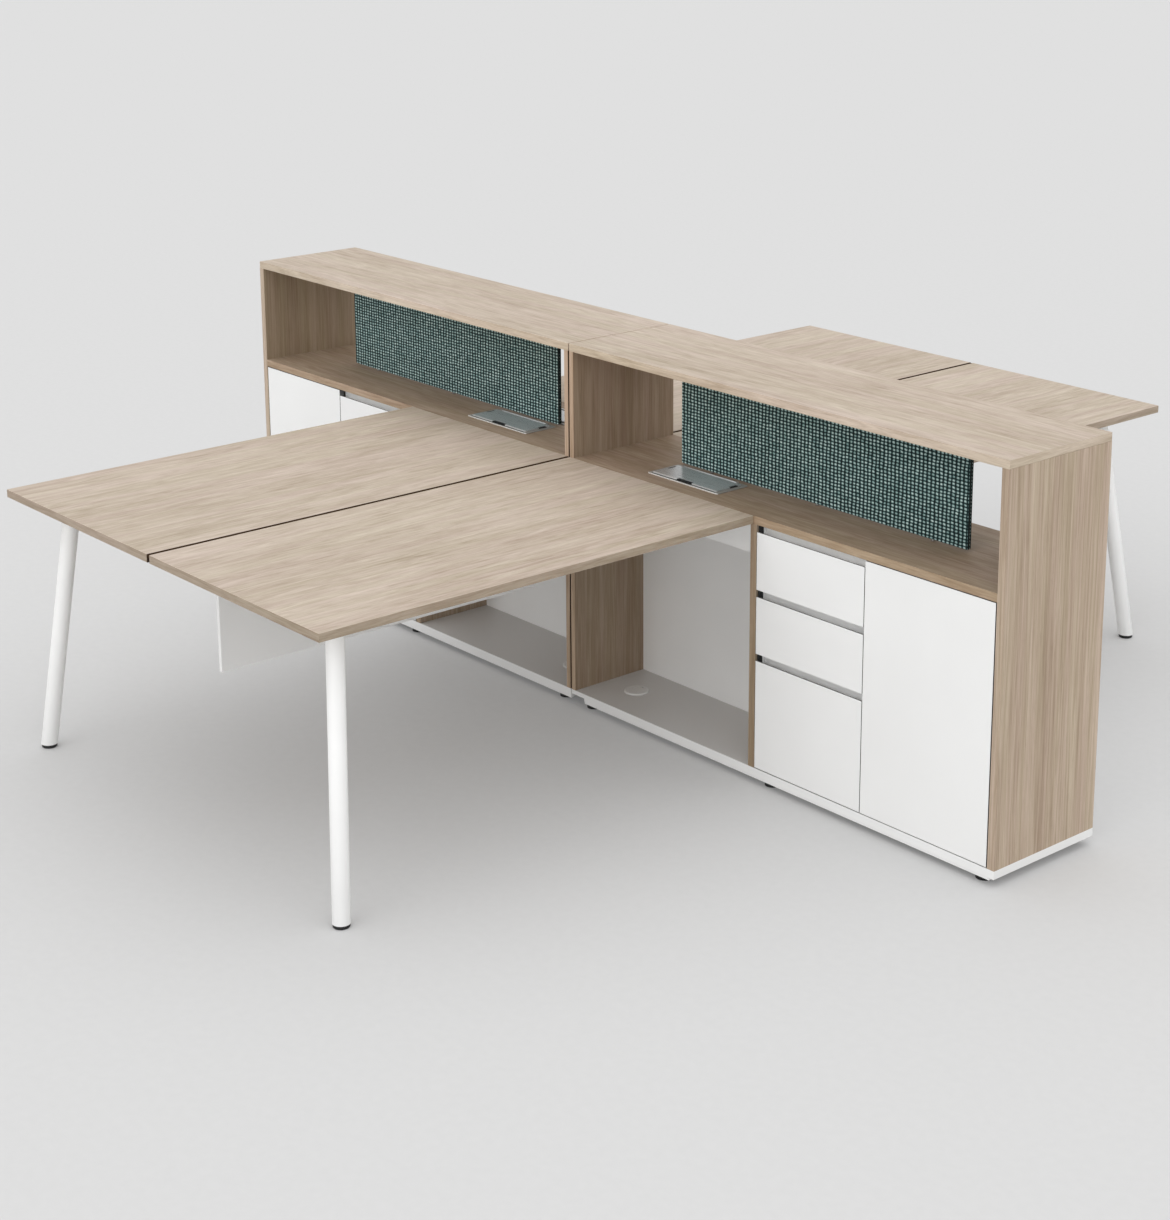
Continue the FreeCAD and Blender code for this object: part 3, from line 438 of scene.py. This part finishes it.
# Base board: white edges, with pale grey top and bottom faces that paint the shade over it in the bays
BASE_WHITE_SHADED_TOP = two_tone_laminate(
    "base_laminate", main=BOARD_WHITE, other=(206, 204, 202), axis="Z", facing_main=False)
# Fronts: white faces, with dark grey sides that paint the shade in the gaps between the fronts
FRONT_WHITE_SHADED_EDGES = two_tone_laminate(
    "front_laminate", main=BOARD_WHITE, other=(104, 104, 103), axis="Y", facing_main=True)
STEEL_WHITE = powder_coat("white_powder_coat", (253, 253, 252))
ALUMINIUM = brushed(
    "anodised_aluminium", "X", dark=(234, 234, 233), light=(250, 250, 249), roughness=0.5, metallic=0.2)
ZINC = brushed("zinc_steel", "Y", dark=(150, 150, 150), light=(190, 190, 190), roughness=0.34)
# The pale front strips of the lids and tubs are painted highlights
LID_METAL = lid_metal(
    "lid_metal", dark=(190, 193, 194), light=(222, 224, 225), front=LID_FRONT, highlight=(252, 252, 251))
TUB_METAL = lipped_metal(
    "tub_metal", TUB_RIM, TUB_FRONT, rim=(172, 168, 163), highlight=(250, 248, 245), inside=(26, 27, 28))
BLACK = moulded("black_plastic", (18, 18, 19), roughness=0.5)
GREY = moulded("grey_plastic", (176, 176, 174), roughness=0.45)
WHITE_PLASTIC = moulded("white_plastic", (214, 213, 211), roughness=0.3)
CHARCOAL = moulded("charcoal_plastic", (40, 41, 43), roughness=0.45)
WEAVE = woven("teal_weave", pitch_x=0.0135, pitch_z=0.0092)
WEAVE_EDGE = moulded("teal_edge_binding", (13, 29, 30), roughness=0.8)
# Dark brown of the joint strips: painted shade of the gaps
JOINT_SHADE_BROWN = moulded("joint_strip_painted_shade", (62, 46, 32), roughness=0.85, specular=0.0)
# Dark grey dividers, which paint the shade in the gap between the drawers and the door
DIVIDER_SHADE_GREY = laminate("divider_painted_shade", (74, 74, 73))

FINISHES = {
    OAK_TOP: ("top_board",),
    OAK_DESK: ("desktop",),
    OAK_SHELF: ("shelf",),
    OAK_END: ("end_panel",),
    OAK_CENTRE: ("centre_panels",),
    OAK_PARTITION: ("bay_partitions",),
    DIVIDER_SHADE_GREY: ("cupboard_dividers",),
    BASE_WHITE_SHADED_TOP: ("base_board",),
    FRONT_WHITE_SHADED_EDGES: ("cupboard_door", "drawer_front"),
    WHITE: ("bay_back", "storage_back", "cupboard_shelves", "modesty", "drawer_box"),
    STEEL_WHITE: ("desk_legs", "desk_frames", "cable_trays"),
    ALUMINIUM: ("drawer_pull",),
    ZINC: ("carcass_fixings", "drawer_runners", "door_pivots", "screen_mounts"),
    LID_METAL: ("power_lid",),
    TUB_METAL: ("power_tubs",),
    BLACK: ("levelling_feet", "leg_feet"),
    CHARCOAL: ("socket_modules",),
    GREY: ("latch",),
    WHITE_PLASTIC: ("cable_grommets",),
}
ROUND_EDGES = {"desktop": 0.0012, "top_board": 0.001, "shelf": 0.0008, "desk_legs": 0.0004}
EDGE_ROUND = 0.0006
ROUND_STEPS = 2
SHARP_ANGLE = math.radians(40)
WELD_DISTANCE = 0.00001
SCREENS = tuple(f"screen_{side_name}" for side_name in SIDES)


def finish_cad_nodes():
    """Gives each CAD node its material and softens its sharp edges. The screens get covers instead."""
    for name, node in nodes.items():
        for material, starts in FINISHES.items():
            if name.startswith(starts):
                node.data.materials.clear()
                node.data.materials.append(material)
        if name in SCREENS:
            continue
        weld = node.modifiers.new("Weld", "WELD")
        weld.merge_threshold = WELD_DISTANCE
        bevel = node.modifiers.new("Bevel", "BEVEL")
        widths = [width for start, width in ROUND_EDGES.items() if name.startswith(start)]
        bevel.width = widths[0] if widths else EDGE_ROUND
        bevel.segments = ROUND_STEPS
        bevel.limit_method = "ANGLE"
        bevel.angle_limit = SHARP_ANGLE
        bevel.harden_normals = True


def add_piece(name, mesh, material, body):
    """Links one mesh to the scene as a piece that rides on a body."""
    mesh.materials.append(material)
    piece = bpy.data.objects.new(name, mesh)
    bpy.context.scene.collection.objects.link(piece)
    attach(piece, body)
    return piece


def mesh_from(work, name):
    """Ends a mesh under construction, with its faces turned outwards."""
    mesh = bpy.data.meshes.new(name)
    bmesh.ops.recalc_face_normals(work, faces=work.faces)
    work.to_mesh(mesh)
    work.free()
    return mesh


def soft_block(work, low, high, width):
    """Adds a block with rounded edges to a mesh under construction."""
    size = [h - l for l, h in zip(low, high)]
    middle = [(h + l) / 2 for l, h in zip(low, high)]
    matrix = Matrix.Translation(middle) @ Matrix.Diagonal((*size, 1.0))
    verts = bmesh.ops.create_cube(work, size=1.0, matrix=matrix)["verts"]
    edges = list({edge for vert in verts for edge in vert.link_edges})
    bmesh.ops.bevel(work, geom=edges, offset=width, segments=ROUND_STEPS, profile=0.5, affect="EDGES")


# Half of a screen's rim, from its face to the seam: inset, and place in shares of half the thickness
HALF_RIM = ((0.0040, -1.0), (0.0016, -0.93), (0.0004, -0.72), (0.0, -0.45), (0.0, -0.12))
SEAM_INSET = 0.0011
SCREEN_CORNER = 0.005
CORNER_STEPS = 4


def rounded_ring(low, high, inset):
    """Points of an upright rectangle with round corners, as (x, z) pairs."""
    low_x, high_x = low.x + inset, high.x - inset
    low_z, high_z = low.z + inset, high.z - inset
    corners = [(high_x, high_z, 0), (low_x, high_z, 90), (low_x, low_z, 180), (high_x, low_z, 270)]
    points = []
    for x, z, start in corners:
        sign_x = 1 if x == high_x else -1
        sign_z = 1 if z == high_z else -1
        for step in range(CORNER_STEPS + 1):
            angle = math.radians(start + 90 * step / CORNER_STEPS)
            points.append((
                x - sign_x * SCREEN_CORNER + SCREEN_CORNER * math.cos(angle),
                z - sign_z * SCREEN_CORNER + SCREEN_CORNER * math.sin(angle),
            ))
    return points


def screen_panel(name):
    """Fabric screen: a thin board wrapped in cloth, with soft edges and a seam round its rim."""
    low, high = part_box(name)
    half = (high.y - low.y) / 2
    rim = [*HALF_RIM, (SEAM_INSET, 0.0)]
    rim += [(inset, -depth) for inset, depth in reversed(HALF_RIM)]
    work = bmesh.new()
    rings = []
    for inset, depth in rim:
        rings.append([work.verts.new((x, depth * half, z)) for x, z in rounded_ring(low, high, inset)])
    for first, second in zip(rings, rings[1:]):
        for i in range(len(first)):
            j = (i + 1) % len(first)
            work.faces.new((first[i], first[j], second[j], second[i]))
    work.faces.new(rings[0])
    work.faces.new(list(reversed(rings[-1])))
    mesh = mesh_from(work, name + "_cover")
    piece = add_piece(name + "_cover", mesh, WEAVE, SPINE)
    mesh.materials.append(WEAVE_EDGE)
    for face in mesh.polygons:
        face.use_smooth = len(face.vertices) == 4
        face.material_index = 1 if abs(face.normal.y) < FACING else 0
    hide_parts(name)


# Cap and liner at the inner end of a finger pull
CAP_GAP = 0.0003
CAP_WIDTH = 0.0072
CAP_RECESS = 0.012
CAP_FLOOR = 0.012
CAP_ROUND = 0.001


def pull_end(side_name, level):
    """Black moulded cap that closes the inner end of a finger pull, and the pale liner beside it."""
    front_low, front_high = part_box(f"drawer_front_{side_name}_{level}")
    pull_low, pull_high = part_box(f"drawer_pull_{side_name}_{level}")
    side = SIDES[side_name]
    inner = front_low.x if side > 0 else front_high.x
    outer = (pull_low.x if side > 0 else pull_high.x) - side * CAP_GAP
    middle = inner + side * CAP_WIDTH
    floor = pull_low.z + CAP_FLOOR
    body = f"drawer_{side_name}_{level}"
    for name, ends, front, material, slot in (
        ("pull_cap", (inner, middle - side * CAP_GAP), pull_low.y + CAP_GAP, BLACK, "black_plastic"),
        ("pull_liner", (middle, outer), pull_low.y + CAP_RECESS, ALUMINIUM, "aluminium"),
    ):
        work = bmesh.new()
        low_corner = (min(ends), front, floor)
        high_corner = (max(ends), pull_high.y, pull_high.z)
        soft_block(work, low_corner, high_corner, CAP_ROUND)
        title = f"{name}_{side_name}_{level}"
        add_piece(title, mesh_from(work, title), material, body)


# Brushes of a power box under its lid, and a black strip beside its front edge that paints the shadow gap
# between lid and frame
LID_LIFT = 0.0003
BRUSH_GAP = 0.0004
BRUSH_RISE = 0.0022
FRONT_BRUSH_HALF_LENGTH = 0.0305
FRONT_BRUSH_REACH = 0.0117
END_BRUSH_REACH = 0.0083
END_BRUSH_WIDTH = 0.0291
END_BRUSH_FROM_FRONT = 0.067
SHADOW_STRIP_WIDTH = 0.0042
SHADOW_STRIP_RISE = 0.0004
RISE_PER_ROUND = 5


def lid_brushes_and_shadow_strip(wing_name, side_name):
    """Black strip on the frame: a dark strip along the lid's front edge that paints the shadow gap between
    lid and frame, and brushes in its three cable slots.
    """
    low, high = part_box(f"power_lid_{wing_name}_{side_name}")
    wing = WINGS[wing_name]
    middle = (low.x + high.x) / 2
    half_length = (high.x - low.x) / 2
    front = low.y if wing < 0 else high.y
    bottom = low.z - LID_LIFT
    work = bmesh.new()

    def strip(ends, outer, inner, rise):
        """A block between two distances from the lid's front edge, counted towards the lid's hinge."""
        across = sorted((front - wing * outer, front - wing * inner))
        low_corner = (min(ends), across[0], bottom)
        high_corner = (max(ends), across[1], bottom + rise)
        soft_block(work, low_corner, high_corner, rise / RISE_PER_ROUND)

    # Painted shadow: the dark strip along the lid's front edge
    strip((middle - half_length, middle + half_length), -SHADOW_STRIP_WIDTH - BRUSH_GAP, -BRUSH_GAP, SHADOW_STRIP_RISE)
    brush_ends = (middle - FRONT_BRUSH_HALF_LENGTH, middle + FRONT_BRUSH_HALF_LENGTH)
    strip(brush_ends, BRUSH_GAP, FRONT_BRUSH_REACH, BRUSH_RISE)
    for end in (-1, 1):
        tip = middle + end * (half_length - BRUSH_GAP)
        root = tip - end * END_BRUSH_REACH
        half = END_BRUSH_WIDTH / 2
        strip((tip, root), END_BRUSH_FROM_FRONT - half, END_BRUSH_FROM_FRONT + half, BRUSH_RISE)
    title = f"lid_brush_{wing_name}_{side_name}"
    add_piece(title, mesh_from(work, title), BLACK, SPINE)


# Dark strips in the joints of the desktops and of the units, which paint the shade of the gaps
STRIP_GAP = 0.0003
STRIP_SINK = 0.0012
STRIP_HEIGHT = 0.008
STRIP_ROUND = 0.0006
SEAM_SINK = 0.003
SEAM_DEPTH = 0.34
SEAM_ROUND = 0.0005


def split_strip(wing):
    """Dark strip that closes the joint between the two desktops of a wing: painted shade of the gap."""
    left_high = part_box(f"desktop_{wing}_left")[1]
    right_low, right_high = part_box(f"desktop_{wing}_right")
    top = right_high.z - STRIP_SINK
    work = bmesh.new()
    low_corner = (left_high.x + STRIP_GAP, right_low.y + STRIP_SINK, top - STRIP_HEIGHT)
    high_corner = (right_low.x - STRIP_GAP, right_high.y - STRIP_SINK, top)
    soft_block(work, low_corner, high_corner, STRIP_ROUND)
    mesh = mesh_from(work, f"split_strip_{wing}")
    add_piece(f"split_strip_{wing}", mesh, JOINT_SHADE_BROWN, SPINE)


def seam_strip():
    """Dark strip that closes the joint between the two units: painted shade of the gap."""
    top_low, top_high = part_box("top_board_right")
    panel_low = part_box("centre_panels")[0]
    half = top_low.x - STRIP_GAP
    front = panel_low.y + SEAM_SINK
    work = bmesh.new()
    low_corner = (-half, front, panel_low.z + SEAM_SINK)
    high_corner = (half, front + SEAM_DEPTH, top_high.z - SEAM_SINK)
    soft_block(work, low_corner, high_corner, SEAM_ROUND)
    add_piece("seam_strip", mesh_from(work, "seam_strip"), JOINT_SHADE_BROWN, SPINE)


# Camera: standpoint in metres, angles in radians, lens in pixels of the photograph's height
PHOTO_HEIGHT = 1220
FOCAL_PIXELS = 2343.05
SENSOR = 36.0
STANDPOINT = (4.95365, -4.26206, 2.56151)
YAW = 0.84876
PITCH = 0.24727
LENS_SHIFT = (-0.05, -0.18)
CLIP = (0.1, 200)


def camera_at_photo():
    """Camera that repeats the photograph's standpoint, with a smaller lens shift."""
    data = bpy.data.cameras.new("camera")
    data.sensor_width = SENSOR
    data.sensor_fit = "AUTO"
    data.lens = FOCAL_PIXELS / PHOTO_HEIGHT * SENSOR
    data.shift_x, data.shift_y = LENS_SHIFT
    data.clip_start, data.clip_end = CLIP
    camera = bpy.data.objects.new("camera", data)
    level = math.cos(PITCH)
    forward = Vector((-math.sin(YAW) * level, math.cos(YAW) * level, -math.sin(PITCH)))
    camera.location = STANDPOINT
    camera.rotation_mode = "QUATERNION"
    camera.rotation_quaternion = forward.to_track_quat("-Z", "Y")
    bpy.context.scene.collection.objects.link(camera)
    bpy.context.scene.camera = camera


BACKDROP = linear(221, 221, 221)
FLOOR_GREYS = ((204, 204, 204), (206, 206, 206))
FLOOR_SPECK = even(40)
FLOOR_REACH = 60.0
FLOOR_GLOW = 0.14
ZENITH_LEVEL = 1.65
LAMP_SPREAD = math.radians(60)


def seen_directly(tree):
    """1 on camera, glossy and transmission rays, and 0 on the rays that light the object."""
    path = tree.nodes.new("ShaderNodeLightPath").outputs
    result = path["Is Camera Ray"]
    for other in ("Is Glossy Ray", "Is Transmission Ray"):
        either = tree.nodes.new("ShaderNodeMath")
        either.operation = "MAXIMUM"
        tree.links.new(result, either.inputs[0])
        tree.links.new(path[other], either.inputs[1])
        result = either.outputs[0]
    return result


def sky():
    """World of one pale tone whose light falls off from the zenith to the horizon."""
    world = bpy.data.worlds.new("studio")
    world.use_nodes = True
    tree = world.node_tree
    tree.nodes.clear()
    split = tree.nodes.new("ShaderNodeSeparateXYZ")
    tree.links.new(tree.nodes.new("ShaderNodeTexCoord").outputs["Generated"], split.inputs[0])
    fall = tree.nodes.new("ShaderNodeMath")
    fall.operation = "MULTIPLY"
    fall.inputs[1].default_value = ZENITH_LEVEL
    tree.links.new(split.outputs["Z"], fall.inputs[0])
    dome = tree.nodes.new("ShaderNodeBackground")
    dome.inputs["Color"].default_value = (1, 1, 1, 1)
    tree.links.new(fall.outputs[0], dome.inputs["Strength"])
    backdrop = tree.nodes.new("ShaderNodeBackground")
    backdrop.inputs["Color"].default_value = BACKDROP
    backdrop.inputs["Strength"].default_value = 1.0
    mix = tree.nodes.new("ShaderNodeMixShader")
    tree.links.new(seen_directly(tree), mix.inputs[0])
    tree.links.new(dome.outputs[0], mix.inputs[1])
    tree.links.new(backdrop.outputs[0], mix.inputs[2])
    output = tree.nodes.new("ShaderNodeOutputWorld")
    tree.links.new(mix.outputs[0], output.inputs["Surface"])
    bpy.context.scene.world = world


def soft_lamp(name, source, energy):
    """A wide sun lamp that shines from one direction."""
    data = bpy.data.lights.new(name, "SUN")
    data.energy = energy
    data.angle = LAMP_SPREAD
    lamp = bpy.data.objects.new(name, data)
    lamp.rotation_mode = "QUATERNION"
    lamp.rotation_quaternion = Vector(source).to_track_quat("Z", "Y")
    bpy.context.scene.collection.objects.link(lamp)


def pale_floor():
    """Wide floor that keeps the object's shadow and lifts it a little with the backdrop's tone."""
    reach = FLOOR_REACH
    mesh = bpy.data.meshes.new("floor")
    corners = [(-reach, -reach, 0), (reach, -reach, 0), (reach, reach, 0), (-reach, reach, 0)]
    mesh.from_pydata(corners, [], [(0, 1, 2, 3)])
    floor = bpy.data.objects.new("floor", mesh)
    bpy.context.scene.collection.objects.link(floor)
    ground = Surface("pale_floor", Roughness=0.9, Specular_IOR_Level=0.0)
    speck = ground.noise(FLOOR_SPECK)
    ground.to_shader("Base Color", ground.ramp(speck, shades(NOISE_SPAN, *FLOOR_GREYS)))
    glow = ground.node("ShaderNodeEmission", {"Color": BACKDROP, "Strength": 1.0})
    share = ground.math("MULTIPLY", seen_directly(ground.tree), FLOOR_GLOW)
    inputs = {0: share, 1: ground.shader.outputs[0], 2: glow.outputs[0]}
    lifted = ground.node("ShaderNodeMixShader", inputs).outputs[0]
    ground.tree.links.new(lifted, ground.tree.nodes["Material Output"].inputs["Surface"])
    mesh.materials.append(ground.material)


def studio():
    """Pale floor, sky light from above, a wide key lamp from the front and a weak one from the right."""
    sky()
    soft_lamp("key", source=(0.2, -0.95, 0.24), energy=0.95)
    soft_lamp("side", source=(0.93, -0.15, 0.35), energy=0.4)
    pale_floor()


finish_cad_nodes()
for side_name in SIDES:
    screen_panel(f"screen_{side_name}")
    for level in LEVELS:
        pull_end(side_name, level)
for wing in WINGS:
    split_strip(wing)
    for side_name in SIDES:
        lid_brushes_and_shadow_strip(wing, side_name)
seam_strip()
camera_at_photo()
studio()
bpy.context.scene.view_settings.view_transform = "Standard"
